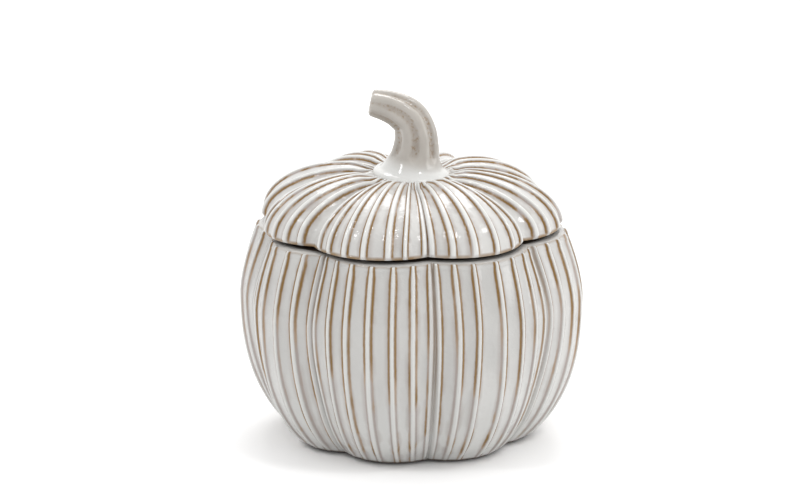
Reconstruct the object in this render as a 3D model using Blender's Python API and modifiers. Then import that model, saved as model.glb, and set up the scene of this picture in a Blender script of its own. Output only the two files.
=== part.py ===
"""A ribbed ceramic pumpkin jar: a cast body and a lift-off lid with a curved stem handle.

Metres, +Z up. The origin is on the jar's axis, on the surface that the jar stands on. The front is -Y
and the stem's tip points to -X. Angles around the axis are measured from the front, positive toward +X.
The lid is modelled in a frame of its own, whose origin is on the axis in the plane of the jar's rim.
"""

import math

import bmesh
import bpy

# Lobes: the angle of the crease where each one starts, the gaps from the creases to the first and to the
# last rib in it, all in degrees, and how many ribs it carries
BODY_LOBES = (
    (-36.8, 1.3, 1.5, 7),
    (8.0, 1.5, 2.2, 7),
    (55.0, 1.9, 1.6, 7),
    (100.0, 1.6, 1.5, 7),
    (146.0, 1.8, 1.9, 7),
    (192.0, 1.5, 1.5, 7),
    (239.0, 1.5, 1.6, 7),
    (286.0, 1.3, 1.3, 6),
)
LID_LOBES = (
    (-44.6, 5.2, 1.6, 7),
    (6.4, 1.5, 4.7, 6),
    (54.4, 5.0, 2.0, 6),
    (103.0, 1.8, 3.6, 6),
    (148.0, 3.8, 1.8, 6),
    (192.0, 1.8, 3.9, 6),
    (233.0, 3.2, 1.8, 5),
    (274.0, 2.0, 4.9, 6),
)
CREASE_SHARPNESS = 0.85  # 1 gives round lobes that meet in a crease, less gives fuller lobes
RIB_SQUEEZE = 0.15  # how much closer than the average the ribs stand beside a crease
RIB_HEIGHT = 0.0010
RIB_HALF_WIDTH = math.radians(1.2)

# Jar body, at a lobe's crest and between its ribs
BODY_RADIUS = 0.0884
WIDEST_HEIGHT = 0.0744
LOWER_REACH = 0.092  # half-height of the superellipse that the lower part follows
LOWER_POWER = 2.45
UPPER_REACH = 0.115  # the same for the upper part
UPPER_POWER = 1.6
SHOULDER_HEIGHT = 0.1072  # the side turns over into the rim from here
RIM_HEIGHT = 0.1108
RIM_RADIUS = 0.0770
LIP_STEPS = (0.45, 0.80)  # places on the rounding between the rim and the side
BODY_CREASE_DEPTH = 0.060  # share of the radius, at the widest height
END_CREASE_DEPTH = 0.045  # how much deeper the crease is at the foot and at the rim
BODY_ROWS = 11
AXIS_RADIUS = 0.001  # vertices closer to the axis than this stay where they are

# Inside of the jar
WALL = 0.0045
FLOOR = 0.0060
CORNER_RISE = 0.0040  # height of the slope between the floor and the wall
CORNER_REACH = 0.0099  # how far the floor's edge lies inside the outer side
MOUTH_RADIUS = 0.0620
LEDGE_THICKNESS = 0.0050
LEDGE_TAPER = 0.0060  # height over which the wall below the ledge becomes round
LEDGE_EDGE = (0.0030, 0.0008)  # bevel on the ledge's lower edge
CAVITY_ROWS = 8

# Foot: a low ring under the body
FOOT_OUTER = 0.0520
FOOT_INNER = 0.0460
FOOT_HEIGHT = 0.0008
FOOT_RECESS = 0.0016
OVERCUT = 0.0020  # how far the cutters of the foot reach below it

# Lid, in its own frame
FIT_GAP = 0.0003  # clearance between pieces that touch
LID_TURN = math.radians(-2.7)  # the lid sits turned by this much against the jar
LID_RADIUS = 0.0788
LID_EDGE_HEIGHT = 0.0020
LID_HEIGHT = 0.0294  # top of the lobes
LID_CROWN_RADIUS = 0.0320  # where the lobes are highest
LID_DOME_POWER = 1.85
LID_CREASE_DEPTH = 0.110
LID_CREASE_DROP = 0.0060
LID_UNDERCUT = (0.0012, 0.0008)  # inward and downward, from the widest line to the underside
LID_LAND_RADIUS = 0.0660  # outer edge of the flat that rests on the rim
LID_ROWS = 8
SEAT_RADIUS = 0.0226  # flat under the stem
SEAT_HEIGHT = 0.0272
SEAT_STEP = 0.0004  # from the seat's edge to the start of the dome
CROWN_STEPS = (0.12, 0.45, 0.80)  # places on the rise from the seat to the lobes' tops
HOLLOW_PROFILE = (
    (0.0000, 0.0205),
    (0.0300, 0.0200),
    (0.0460, 0.0168),
    (0.0570, 0.0128),
    (0.0635, 0.0077),
    (0.0620, 0.0047),
    (0.0570, 0.0042),
    (0.0570, -0.0100),
    (0.0000, -0.0100),
)

# Locating ring under the lid
RING_OUTER = 0.0610
RING_INNER = 0.0573
RING_DEPTH = 0.0085
RING_ROUNDING = 0.0008

# Stem handle: stations of (x, height, radius) from the seat to the tip
STEM_STATIONS = (
    (0.0010, 0.0000, 0.0212),
    (0.0010, 0.0008, 0.0205),
    (0.0013, 0.0038, 0.0163),
    (0.0020, 0.0085, 0.0133),
    (0.0026, 0.0150, 0.0118),
    (0.0020, 0.0225, 0.0109),
    (-0.0006, 0.0286, 0.0102),
    (-0.0060, 0.0330, 0.0094),
    (-0.0128, 0.0357, 0.0084),
    (-0.0190, 0.0370, 0.0074),
    (-0.0210, 0.0373, 0.0058),
)
STEM_FLUTES = 7
STEM_FLUTE_DEPTH = 0.09  # share of the radius
STEM_SIDES = 24

# Steps around the axis
SMOOTH_STEPS = 64
WELD_DISTANCE = 0.00001

# Glaze colours, as linear RGB
CREAM_GLAZE = (0.62, 0.60, 0.56)
STEM_GLAZE = (0.52, 0.49, 0.44)
BARE_CLAY = (0.60, 0.53, 0.43)


def clear_scene():
    """Remove whatever the scene holds."""
    for item in list(bpy.data.objects):
        bpy.data.objects.remove(item, do_unlink=True)


def new_collection(name):
    """A collection under the scene's own one."""
    made = bpy.data.collections.new(name)
    bpy.context.scene.collection.children.link(made)
    return made


def new_material(name, colour, roughness):
    """A plain Principled material."""
    material = bpy.data.materials.new(name)
    material.use_nodes = True
    shader = material.node_tree.nodes["Principled BSDF"]
    shader.inputs["Base Color"].default_value = (*colour, 1.0)
    shader.inputs["Roughness"].default_value = roughness
    shader.inputs["Metallic"].default_value = 0.0
    return material


def evaluated_mesh(item):
    """The item's mesh with its modifiers applied."""
    bpy.context.view_layer.update()
    graph = bpy.context.evaluated_depsgraph_get()
    return bpy.data.meshes.new_from_object(item.evaluated_get(graph))


def turned_mesh(name, profile, steps, closed=False):
    """Turn a profile of (radius, height) points around the axis. It runs down the outer side."""
    count = len(profile)
    edges = [(i, i + 1) for i in range(count - 1)]
    if closed:
        edges.append((count - 1, 0))
    outline = bpy.data.meshes.new(name)
    outline.from_pydata([(radius, 0.0, height) for radius, height in profile], edges, [])
    item = bpy.data.objects.new(name, outline)
    bpy.context.scene.collection.objects.link(item)
    screw = item.modifiers.new("Turn", "SCREW")
    screw.axis = "Z"
    screw.steps = steps
    screw.render_steps = steps
    screw.use_merge_vertices = True
    screw.merge_threshold = WELD_DISTANCE
    mesh = evaluated_mesh(item)
    bpy.data.objects.remove(item, do_unlink=True)
    bpy.data.meshes.remove(outline)
    mesh.name = name
    return mesh


def add_object(name, mesh, collection, material=None):
    """Link a mesh as an object, shaded smooth except at its sharp edges."""
    item = bpy.data.objects.new(name, mesh)
    collection.objects.link(item)
    mesh.shade_smooth()
    mesh.set_sharp_from_angle(angle=math.radians(50))
    if material:
        mesh.materials.clear()
        mesh.materials.append(material)
    return item


def add_cutter(name, mesh, collection):
    """A helper solid that only cuts."""
    item = add_object(name, mesh, collection)
    item.hide_render = True
    item.display_type = "WIRE"
    return item


def cut(item, cutter):
    """Subtract the cutter from the item."""
    boolean = item.modifiers.new("Cut " + cutter.name, "BOOLEAN")
    boolean.operation = "DIFFERENCE"
    boolean.solver = "EXACT"
    boolean.object = cutter


def lobe_spans(lobes):
    """Where each lobe starts and ends, in degrees."""
    starts = [lobe[0] for lobe in lobes]
    return list(zip(starts, starts[1:] + [starts[0] + 360.0]))


def crestness(angle, lobes):
    """0 in a crease and 1 on a lobe's crest."""
    first = lobes[0][0]
    turned = first + (math.degrees(angle) - first) % 360.0
    for start, end in lobe_spans(lobes):
        if turned <= end:
            return abs(math.sin(math.pi * (turned - start) / (end - start))) ** CREASE_SHARPNESS
    return 0.0


def smooth_step(low, high, value):
    """Rise smoothly from 0 at low to 1 at high."""
    share = min(max((value - low) / (high - low), 0.0), 1.0)
    return share * share * (3.0 - 2.0 * share)


def rib_columns(lobes):
    """The (angle, rib share) of every column around the axis: each rib has a foot, a top and a foot."""
    columns = []
    for (start, end), (_, first_gap, last_gap, ribs) in zip(lobe_spans(lobes), lobes):
        span = end - start - first_gap - last_gap
        for rib in range(ribs):
            share = rib / (ribs - 1)
            share -= RIB_SQUEEZE * math.sin(2.0 * math.pi * share) / (2.0 * math.pi)
            angle = math.radians(start + first_gap + share * span)
            columns.append((angle - RIB_HALF_WIDTH, 0.0))
            columns.append((angle, 1.0))
            columns.append((angle + RIB_HALF_WIDTH, 0.0))
    return columns


def place(vertex, radius, angle, height):
    """Move a vertex to a radius, an angle from the front and a height."""
    vertex.co = (radius * math.sin(angle), -radius * math.cos(angle), height)


def body_radius(height):
    """Radius of the body's outer side between ribs, on a lobe's crest."""
    if height < WIDEST_HEIGHT:
        share = (WIDEST_HEIGHT - height) / LOWER_REACH
        return BODY_RADIUS * (1.0 - share**LOWER_POWER) ** (1.0 / LOWER_POWER)
    share = (height - WIDEST_HEIGHT) / UPPER_REACH
    return BODY_RADIUS * (1.0 - share**UPPER_POWER) ** (1.0 / UPPER_POWER)


def body_lobe_scale(angle, height):
    """How far the body draws in toward a crease. The creases deepen toward the foot and the rim."""
    toward_end = smooth_step(0.0, 0.6 * WIDEST_HEIGHT, abs(height - WIDEST_HEIGHT))
    depth = BODY_CREASE_DEPTH + END_CREASE_DEPTH * toward_end
    return 1.0 - depth * (1.0 - crestness(angle, BODY_LOBES))


def body_outline():
    """The body's profile: flat rim, rounded lip, superellipse side and flat bottom."""
    shoulder = body_radius(SHOULDER_HEIGHT)
    lip = RIM_HEIGHT - SHOULDER_HEIGHT
    points = [(0.0, RIM_HEIGHT), (RIM_RADIUS, RIM_HEIGHT)]
    for share in LIP_STEPS:
        rise = math.sqrt(1.0 - share * share)
        points.append((RIM_RADIUS + share * (shoulder - RIM_RADIUS), SHOULDER_HEIGHT + lip * rise))
    for row in range(BODY_ROWS, -1, -1):
        height = SHOULDER_HEIGHT * (1.0 - math.cos(0.5 * math.pi * row / BODY_ROWS))
        points.append((body_radius(height), height))
    points.append((0.0, 0.0))
    return points


def shape_body(mesh):
    """Give the turned body its lobes and ribs. The ribs run up to the rim."""
    columns = rib_columns(BODY_LOBES)
    step = 2.0 * math.pi / len(columns)
    for vertex in mesh.vertices:
        x, y, height = vertex.co
        radius = math.hypot(x, y)
        if radius < AXIS_RADIUS:
            continue
        angle, rib = columns[round(math.atan2(y, x) / step) % len(columns)]
        rise = RIB_HEIGHT * rib * smooth_step(RIM_HEIGHT, SHOULDER_HEIGHT, height)
        place(vertex, radius * body_lobe_scale(angle, height) + rise, angle, height)


def cavity_outline():
    """Profile of the space inside the jar, up through the mouth."""
    above = RIM_HEIGHT + LEDGE_THICKNESS
    top = RIM_HEIGHT - LEDGE_THICKNESS
    low = FLOOR + CORNER_RISE
    points = [(0.0, above), (MOUTH_RADIUS, above), (MOUTH_RADIUS, top + LEDGE_EDGE[1])]
    points.append((MOUTH_RADIUS + LEDGE_EDGE[0], top))
    for row in range(CAVITY_ROWS, -1, -1):
        height = low + (top - LEDGE_TAPER - low) * row / CAVITY_ROWS
        points.append((body_radius(height) - WALL, height))
    points.append((body_radius(FLOOR) - CORNER_REACH, FLOOR))
    points.append((0.0, FLOOR))
    return points


def shape_cavity(mesh):
    """Let the inside follow the lobes, but keep the mouth round."""
    top = RIM_HEIGHT - LEDGE_THICKNESS
    for vertex in mesh.vertices:
        x, y, height = vertex.co
        radius = math.hypot(x, y)
        if radius < AXIS_RADIUS:
            continue
        angle = math.atan2(x, -y)
        lobed = smooth_step(top, top - LEDGE_TAPER, height)
        scale = 1.0 - lobed * (1.0 - body_lobe_scale(angle, height))
        place(vertex, radius * scale, angle, height)


def make_body(parts, cutters):
    """The jar body: one cast shell with an inward ledge at the mouth and a low foot ring."""
    columns = len(rib_columns(BODY_LOBES))
    mesh = turned_mesh("jar_body", body_outline(), columns)
    shape_body(mesh)
    body = add_object("jar_body", mesh, parts, new_material("jar_glaze", CREAM_GLAZE, 0.22))
    cavity = turned_mesh("cavity", cavity_outline(), SMOOTH_STEPS)
    shape_cavity(cavity)
    cut(body, add_cutter("cavity_cutter", cavity, cutters))
    beyond = BODY_RADIUS
    around_foot = [(beyond, FOOT_HEIGHT), (beyond, -OVERCUT), (FOOT_OUTER, -OVERCUT), (FOOT_OUTER, FOOT_HEIGHT)]
    skirt = turned_mesh("skirt", around_foot, SMOOTH_STEPS, closed=True)
    cut(body, add_cutter("skirt_cutter", skirt, cutters))
    inside_foot = [(0.0, FOOT_RECESS), (FOOT_INNER, FOOT_RECESS), (FOOT_INNER, -OVERCUT), (0.0, -OVERCUT)]
    recess = turned_mesh("recess", inside_foot, SMOOTH_STEPS)
    cut(body, add_cutter("recess_cutter", recess, cutters))
    return body


def lid_outline():
    """The lid's profile: seat for the stem, dimple, domed lobes, edge and underside."""
    crown = LID_CROWN_RADIUS
    points = [(0.0, SEAT_HEIGHT), (SEAT_RADIUS, SEAT_HEIGHT)]
    for share in CROWN_STEPS:
        rise = math.sin(0.5 * math.pi * share)
        radius = SEAT_RADIUS + SEAT_STEP + share * (crown - SEAT_RADIUS - SEAT_STEP)
        points.append((radius, SEAT_HEIGHT + rise * (LID_HEIGHT - SEAT_HEIGHT)))
    for row in range(LID_ROWS + 1):
        turn = 0.5 * math.pi * row / LID_ROWS
        out = math.sin(turn) ** (2.0 / LID_DOME_POWER)
        up = math.cos(turn) ** (2.0 / LID_DOME_POWER) if row < LID_ROWS else 0.0
        radius = crown + out * (LID_RADIUS - crown)
        points.append((radius, LID_EDGE_HEIGHT + up * (LID_HEIGHT - LID_EDGE_HEIGHT)))
    underside = LID_EDGE_HEIGHT - LID_UNDERCUT[1]
    points.append((LID_RADIUS - LID_UNDERCUT[0], underside))
    points.append((LID_LAND_RADIUS + 0.5 * LID_UNDERCUT[0], underside))
    points.append((LID_LAND_RADIUS, FIT_GAP))
    points.append((0.0, FIT_GAP))
    return points


def lobe_share(radius, height):
    """How far a place on the lid follows the lobes: not at the seat and not on the flat underneath."""
    if height < LID_EDGE_HEIGHT:
        return smooth_step(LID_LAND_RADIUS, LID_RADIUS, radius)
    return smooth_step(SEAT_RADIUS, LID_CROWN_RADIUS, radius)


def shape_lid(mesh):
    """Give the turned lid its lobes and ribs. The ribs stand on the dome, square to it."""
    columns = rib_columns(LID_LOBES)
    step = 2.0 * math.pi / len(columns)
    dome_height = LID_HEIGHT - LID_EDGE_HEIGHT
    for vertex in mesh.vertices:
        x, y, height = vertex.co
        radius = math.hypot(x, y)
        if radius < AXIS_RADIUS:
            continue
        angle, rib = columns[round(math.atan2(y, x) / step) % len(columns)]
        valley = 1.0 - crestness(angle, LID_LOBES)
        on_dome = lobe_share(radius, height)
        lowered = smooth_step(LID_EDGE_HEIGHT, LID_HEIGHT, height)
        scale = 1.0 - LID_CREASE_DEPTH * valley * on_dome
        rise = RIB_HEIGHT * rib * on_dome * smooth_step(FIT_GAP, LID_EDGE_HEIGHT, height)
        upward = min(max((height - LID_EDGE_HEIGHT) / dome_height, 0.0), 1.0)
        outward = math.sqrt(1.0 - upward * upward)
        place(
            vertex,
            radius * scale + rise * outward,
            angle,
            height - LID_CREASE_DROP * valley * on_dome * lowered + rise * upward,
        )


def make_lid(parts, cutters, hinge_point):
    """The lid's shell, ribbed outside and hollow below."""
    columns = len(rib_columns(LID_LOBES))
    mesh = turned_mesh("lid_shell", lid_outline(), columns)
    shape_lid(mesh)
    lid = add_object("lid_shell", mesh, parts, new_material("lid_glaze", CREAM_GLAZE, 0.18))
    lid.parent = hinge_point
    hollow = add_cutter("hollow_cutter", turned_mesh("hollow", HOLLOW_PROFILE, SMOOTH_STEPS), cutters)
    hollow.parent = hinge_point
    cut(lid, hollow)
    return lid


def make_locating_ring(parts, hinge_point):
    """The ring under the lid that drops into the mouth and keeps the lid centred."""
    section = [(RING_OUTER, 0.0), (RING_OUTER, -RING_DEPTH), (RING_INNER, -RING_DEPTH), (RING_INNER, 0.0)]
    mesh = turned_mesh("lid_locating_ring", section, SMOOTH_STEPS, closed=True)
    material = new_material("ring_clay", BARE_CLAY, 0.75)
    ring = add_object("lid_locating_ring", mesh, parts, material)
    bevel = ring.modifiers.new("Rounding", "BEVEL")
    bevel.width = RING_ROUNDING
    bevel.segments = 2
    bevel.limit_method = "ANGLE"
    ring.parent = hinge_point
    return ring


def stem_curve():
    """The stem's centre line, as a curve whose points carry the radius."""
    curve = bpy.data.curves.new("stem_line", "CURVE")
    curve.dimensions = "3D"
    curve.bevel_depth = 1.0
    curve.bevel_resolution = STEM_SIDES // 2 - 2
    curve.use_fill_caps = True
    curve.resolution_u = 2
    line = curve.splines.new("BEZIER")
    line.bezier_points.add(len(STEM_STATIONS) - 1)
    line.radius_interpolation = "CARDINAL"
    for point, (x, height, radius) in zip(line.bezier_points, STEM_STATIONS):
        point.co = (x, 0.0, height)
        point.radius = radius
        point.handle_left_type = "AUTO"
        point.handle_right_type = "AUTO"
    foot = line.bezier_points[0]
    foot.handle_left_type = "FREE"
    foot.handle_right_type = "FREE"
    foot.handle_left = (foot.co.x, 0.0, -0.0004)
    foot.handle_right = (foot.co.x, 0.0, 0.0004)
    return curve


def nearest_on_stem(point):
    """The nearest place on the line through the stations, and the line's direction there."""
    best = None
    for (x0, z0, _), (x1, z1, _) in zip(STEM_STATIONS, STEM_STATIONS[1:]):
        length = math.hypot(x1 - x0, z1 - z0)
        along = ((x1 - x0) / length, (z1 - z0) / length)
        reach = (point.x - x0) * along[0] + (point.z - z0) * along[1]
        reach = min(max(reach, 0.0), length)
        here = (x0 + along[0] * reach, z0 + along[1] * reach)
        apart = math.hypot(point.x - here[0], point.z - here[1])
        if best is None or apart < best[0]:
            best = (apart, here, along)
    return best[1], best[2]


def flute_stem(mesh):
    """Press lengthwise flutes into the stem. They fade out in the collar at its foot."""
    for vertex in mesh.vertices:
        here, along = nearest_on_stem(vertex.co)
        side = (vertex.co.x - here[0]) * along[1] - (vertex.co.z - here[1]) * along[0]
        around = math.atan2(vertex.co.y, side)
        dent = STEM_FLUTE_DEPTH * (0.5 + 0.5 * math.cos(STEM_FLUTES * around))
        dent *= smooth_step(0.004, 0.014, vertex.co.z)
        vertex.co.x -= dent * (vertex.co.x - here[0])
        vertex.co.y -= dent * vertex.co.y
        vertex.co.z -= dent * (vertex.co.z - here[1])


def make_stem(parts, hinge_point):
    """The curved stem that serves as the lid's handle."""
    curve = stem_curve()
    guide = bpy.data.objects.new("stem_guide", curve)
    bpy.context.scene.collection.objects.link(guide)
    mesh = evaluated_mesh(guide)
    bpy.data.objects.remove(guide, do_unlink=True)
    bpy.data.curves.remove(curve)
    welded = bmesh.new()
    welded.from_mesh(mesh)
    bmesh.ops.remove_doubles(welded, verts=welded.verts, dist=WELD_DISTANCE)
    welded.to_mesh(mesh)
    welded.free()
    flute_stem(mesh)
    stem = add_object("stem_handle", mesh, parts, new_material("stem_glaze", STEM_GLAZE, 0.25))
    stem.location = (0.0, 0.0, SEAT_HEIGHT + FIT_GAP)
    stem.parent = hinge_point
    return stem


def main():
    """Build the jar, the cutters and the lid's frame."""
    clear_scene()
    parts = new_collection("pumpkin_jar")
    cutters = new_collection("cutters")
    lid_frame = bpy.data.objects.new("lid_frame", None)
    lid_frame.location = (0.0, 0.0, RIM_HEIGHT)
    lid_frame.rotation_euler = (0.0, 0.0, LID_TURN)
    lid_frame.empty_display_size = 0.02
    parts.objects.link(lid_frame)
    make_body(parts, cutters)
    make_lid(parts, cutters, lid_frame)
    make_locating_ring(parts, lid_frame)
    make_stem(parts, lid_frame)


main()
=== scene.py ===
"""Looks for the ribbed ceramic pumpkin jar: its glazed body, its lid, the lid's locating ring and the stem.

Metres, +Z up, front -Y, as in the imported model. Angles around the axis are measured from the front,
positive toward +X. Every visible piece is a fine mesh that stands for one CAD node.
"""

import math

import bpy
import numpy as np
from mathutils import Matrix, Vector


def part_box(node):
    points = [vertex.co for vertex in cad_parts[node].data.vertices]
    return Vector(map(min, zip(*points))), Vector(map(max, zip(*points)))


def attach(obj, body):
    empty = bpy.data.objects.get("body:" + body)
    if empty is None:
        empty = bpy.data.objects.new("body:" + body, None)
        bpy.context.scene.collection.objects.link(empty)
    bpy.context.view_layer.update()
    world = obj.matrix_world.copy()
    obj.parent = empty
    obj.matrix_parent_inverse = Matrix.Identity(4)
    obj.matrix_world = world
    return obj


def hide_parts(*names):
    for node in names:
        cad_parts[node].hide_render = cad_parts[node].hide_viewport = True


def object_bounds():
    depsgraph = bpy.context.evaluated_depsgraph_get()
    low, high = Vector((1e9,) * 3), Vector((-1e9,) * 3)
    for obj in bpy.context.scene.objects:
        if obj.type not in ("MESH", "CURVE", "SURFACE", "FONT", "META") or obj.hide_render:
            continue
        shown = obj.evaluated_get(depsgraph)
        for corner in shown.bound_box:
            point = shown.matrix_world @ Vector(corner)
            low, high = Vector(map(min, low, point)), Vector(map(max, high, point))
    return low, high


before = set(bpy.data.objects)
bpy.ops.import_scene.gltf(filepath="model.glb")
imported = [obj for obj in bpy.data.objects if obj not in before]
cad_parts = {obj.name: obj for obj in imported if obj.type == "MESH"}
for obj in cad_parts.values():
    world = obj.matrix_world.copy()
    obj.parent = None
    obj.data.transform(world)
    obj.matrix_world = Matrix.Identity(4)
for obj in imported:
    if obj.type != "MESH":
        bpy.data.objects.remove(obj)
cad_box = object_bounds()

MM = 0.001
RIM_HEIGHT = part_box("jar_body")[1].z
LID_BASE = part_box("lid_shell")[0].z
STEM_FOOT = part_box("stem_handle")[0].z
RING_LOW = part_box("lid_locating_ring")[0].z
RING_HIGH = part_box("lid_locating_ring")[1].z

# Lobes: the angle of the crease where each one starts, the gaps from the creases to the first and to the
# last rib in it, all in degrees, and how many ribs it carries
BODY_LOBES = (
    (-36.8, 1.3, 1.5, 7),
    (8.0, 1.5, 2.2, 7),
    (55.0, 1.9, 1.6, 7),
    (100.0, 1.6, 1.5, 7),
    (146.0, 1.8, 1.9, 7),
    (192.0, 1.5, 1.5, 7),
    (239.0, 1.5, 1.6, 7),
    (286.0, 1.3, 1.3, 6),
)
LID_LOBES = (
    (-44.6, 5.2, 1.6, 7),
    (6.4, 1.5, 4.7, 6),
    (54.4, 5.0, 2.0, 6),
    (103.0, 1.8, 3.6, 6),
    (148.0, 3.8, 1.8, 6),
    (192.0, 1.8, 3.9, 6),
    (233.0, 3.2, 1.8, 5),
    (274.0, 2.0, 4.9, 6),
)
CREASE_SHARPNESS = 0.85  # 1 gives round lobes that meet in a crease, less gives fuller lobes
RIB_SQUEEZE = 0.15  # how much closer than the average the ribs stand beside a crease
LID_TURN = math.radians(-2.7)  # the stem's bend lies this far off the jar's X axis
RIB_HALF_WIDTH = 1.40 * MM
BODY_RIB_HEIGHT = 0.70 * MM
LID_RIB_HEIGHT = 1.35 * MM
FLUTE_DEPTH = 1.15 * MM
LID_RIB_WIDENING = 1.12
# Distances of a rib's columns from its centre line, as shares of its half width
COLUMN_STEPS = (0.42, 0.80, 1.18, 1.60)
COLUMNS_PER_RIB = 2 * len(COLUMN_STEPS) + 4
# How much the ribs differ: in place and in wander along their length, in degrees, in width and in height
BODY_RIB_SPREAD = (0.25, 0.16, 0.07, 0.08)
LID_RIB_SPREAD = (0.30, 0.22, 0.08, 0.10)
BODY_SEED = 11
LID_SEED = 23
STEM_SEED = 5
LARGEST_GAP_SHARE = 0.82  # of the way to the middle of the flute, for a rib's outermost column
BEAD_FALL = (0.40, 1.45)  # a rib falls from its crest to the flute between these shares of its half width
FULL_SCOOP_GAP = 5.5 * MM  # a flute at least this wide to its middle is scooped to its full depth
WIDEST_FIELD = 4.0  # larger distances from a rib's centre look alike, so the stored value stops here
AXIS_GAP = 3.0 * MM  # sections start and end this far from the axis, where a fan closes them

# Body, at a lobe's crest and between its ribs
BODY_RADIUS = 89.4 * MM
WIDEST_HEIGHT = 74.4 * MM
LOWER_REACH = 92.0 * MM
LOWER_POWER = 2.45
UPPER_REACH = 115.0 * MM
UPPER_POWER = 1.6
SHOULDER_HEIGHT = RIM_HEIGHT - 3.6 * MM
RIM_RADIUS = 77.3 * MM
RIB_TIP_HEIGHT = RIM_HEIGHT - 0.5 * MM
BODY_CREASE_DEPTH = 0.060
END_CREASE_DEPTH = 0.045
WALL = 4.5 * MM
FLOOR = 6.0 * MM
MOUTH_RADIUS = 62.0 * MM
LEDGE_THICKNESS = 5.0 * MM
FOOT_OUTER = 52.0 * MM
FOOT_INNER = 46.0 * MM
FOOT_HEIGHT = 0.8 * MM
FOOT_RECESS = 1.6 * MM
GAP_SHADE_RADIUS = 74.2 * MM  # the rim inside this radius is painted dark clay: painted shade of the gap under the lid
RECESS_MARGIN = 1.0 * MM
FOOT_ROUNDING = 0.6 * MM
FOOT_BEVEL = 0.7 * MM
BASE_RISE = 0.1 * MM
BASE_EDGE_HEIGHT = 2.0 * MM
BASE_EDGE_REACH = 2.4 * MM
BASE_EDGE_CENTRE = 2.3 * MM
BASE_EDGE_RADII = (2.0 * MM, 1.4 * MM)
SIDE_START = 2.5 * MM
LOW_SIDE_END = 12.0 * MM
SHOULDER_LENGTH = 8.0 * MM
MOUTH_ROUNDING = 1.0 * MM
LEDGE_START = (2.5 * MM, 0.2 * MM)
LEDGE_END = (3.0 * MM, 5.0 * MM)
INNER_TOP_DROP = 9.0 * MM
CORNER_HEIGHT = 6.0 * MM
CORNER_INSET = 9.0 * MM
CORNER_RADII = (8.0 * MM, 6.0 * MM)
LOBES_START = 5.0 * MM  # the lobes take hold over this distance outside the foot ring
RIBS_START = (1.0 * MM, 7.0 * MM)
ROUND_MOUTH = 4.0 * MM  # the mouth's edge is round up to this far from it
INNER_LOBES = (9.0 * MM, 18.0 * MM)  # the inner side takes on the lobes between these depths below the rim
ROUND_FLOOR = (25.0 * MM, 50.0 * MM)  # and loses them between these radii
RIM_BAND = 0.5 * MM
RIM_ROWS = 8  # rows over the rim's outer rounding
LOWER_EDGE = (2.1 * MM, 1.5 * MM)  # the lower edge turns from glaze to dark clay between these heights: bare clay, painted darker as contact shadow
RIBS_FULL_HEIGHT = 7.0 * MM
FLUTES_FULL_HEIGHT = 5.0 * MM
RIB_TAPER_LENGTH = 9.0 * MM
RIB_TIP_ROUNDING = 1.2 * MM
ARCH_GAP = 0.3 * MM  # from the ribs' tips to the top of the arch that closes a flute
ARCH_RISE = 1.3 * MM
ARCH_LINE_OFFSET = 0.2 * MM
ARCH_LINE_WIDTH = 0.45 * MM
RIPPLE_DEPTH = 0.12 * MM

# Lid, measured up from the plane of the jar's rim
LID_RADIUS = 78.8 * MM
LID_EDGE_HEIGHT = 2.5 * MM
LID_HEIGHT = 29.8 * MM
LID_CROWN_RADIUS = 32.0 * MM
LID_DOME_POWER = 1.92
LID_CREASE_DEPTH = 0.110
LID_CREASE_DROP = 6.0 * MM
LID_LAND_RADIUS = 66.0 * MM
LID_OUT_OF_ROUND = 1.0 * MM
SEAT_RADIUS = 22.6 * MM
SEAT_HEIGHT = 27.2 * MM
SEAT_MARGIN = 3.0 * MM
SEAT_RISE_POWER = 1.4
DOME_STEPS = 58
DOME_SPACING = 0.9  # below 1, the steps are finer at the edge
EDGE_ROUNDING = (1.0 * MM, 0.75 * MM)
EDGE_DROP = 0.15 * MM
UNDERSIDE_INSET = 1.6 * MM
UNDERSIDE_DROP = 0.88 * MM
UNDERSIDE_HEIGHT = 1.6 * MM
LAND_BEVEL = (0.5 * MM, 0.8 * MM)
LAND_INNER = 58.2 * MM
LAND_TOP = 1.9 * MM  # everything under the lid below this is unglazed clay, painted dark as the shade in the gap
# Rows of the section past its widest one: round the edge, out to where the underside starts, and to the hollow
EDGE_ROWS = 5
UNDERSIDE_ROWS = 7
HOLLOW_ROWS = 30
# The hollow under the lid as straight stretches: (radius, height) of both ends, in mm, and the steps between
LID_HOLLOW = (
    ((57.6, 0.3), (57.0, 3.9), 3),
    ((58.5, 4.4), (62.0, 5.2), 3),
    ((63.3, 7.7), (57.0, 12.8), 5),
    ((57.0, 12.8), (46.0, 16.8), 5),
    ((46.0, 16.8), (30.0, 20.0), 5),
    ((30.0, 20.0), (3.0, 20.5), 6),
)

# Stem: stations of (x, height above the seat, radius), in mm
STEM_STATIONS = (
    (1.0, 0.0, 21.4),
    (1.0, 0.3, 21.2),
    (1.1, 1.3, 18.9),
    (1.3, 3.6, 16.2),
    (2.0, 8.5, 13.3),
    (2.6, 15.0, 11.8),
    (2.0, 22.5, 10.9),
    (-0.6, 28.6, 10.2),
    (-6.0, 33.0, 9.4),
    (-12.8, 35.7, 8.4),
    (-19.0, 37.0, 7.4),
)
STEM_FLUTES = 7
STEM_FLUTE_DEPTH = 0.13  # as a share of the stem's radius
STEM_SIDES = 168
STEM_TWIST = 0.35
COLLAR_LENGTH = 5.0 * MM
CAP_LENGTH = 2.4 * MM
CAP_NARROWING = 0.34
# The dished end of the tip: shares of the stem's radius, and how far out each ring lies, in mm
TIP_DISH = ((0.45, 2.2), (0.25, 2.0), (0.06, 1.8))

# Locating ring
RING_OUTER = 61.0 * MM
RING_INNER = 57.3 * MM
RING_ROUNDING = 0.9 * MM
RING_SIDES = 240

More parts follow.
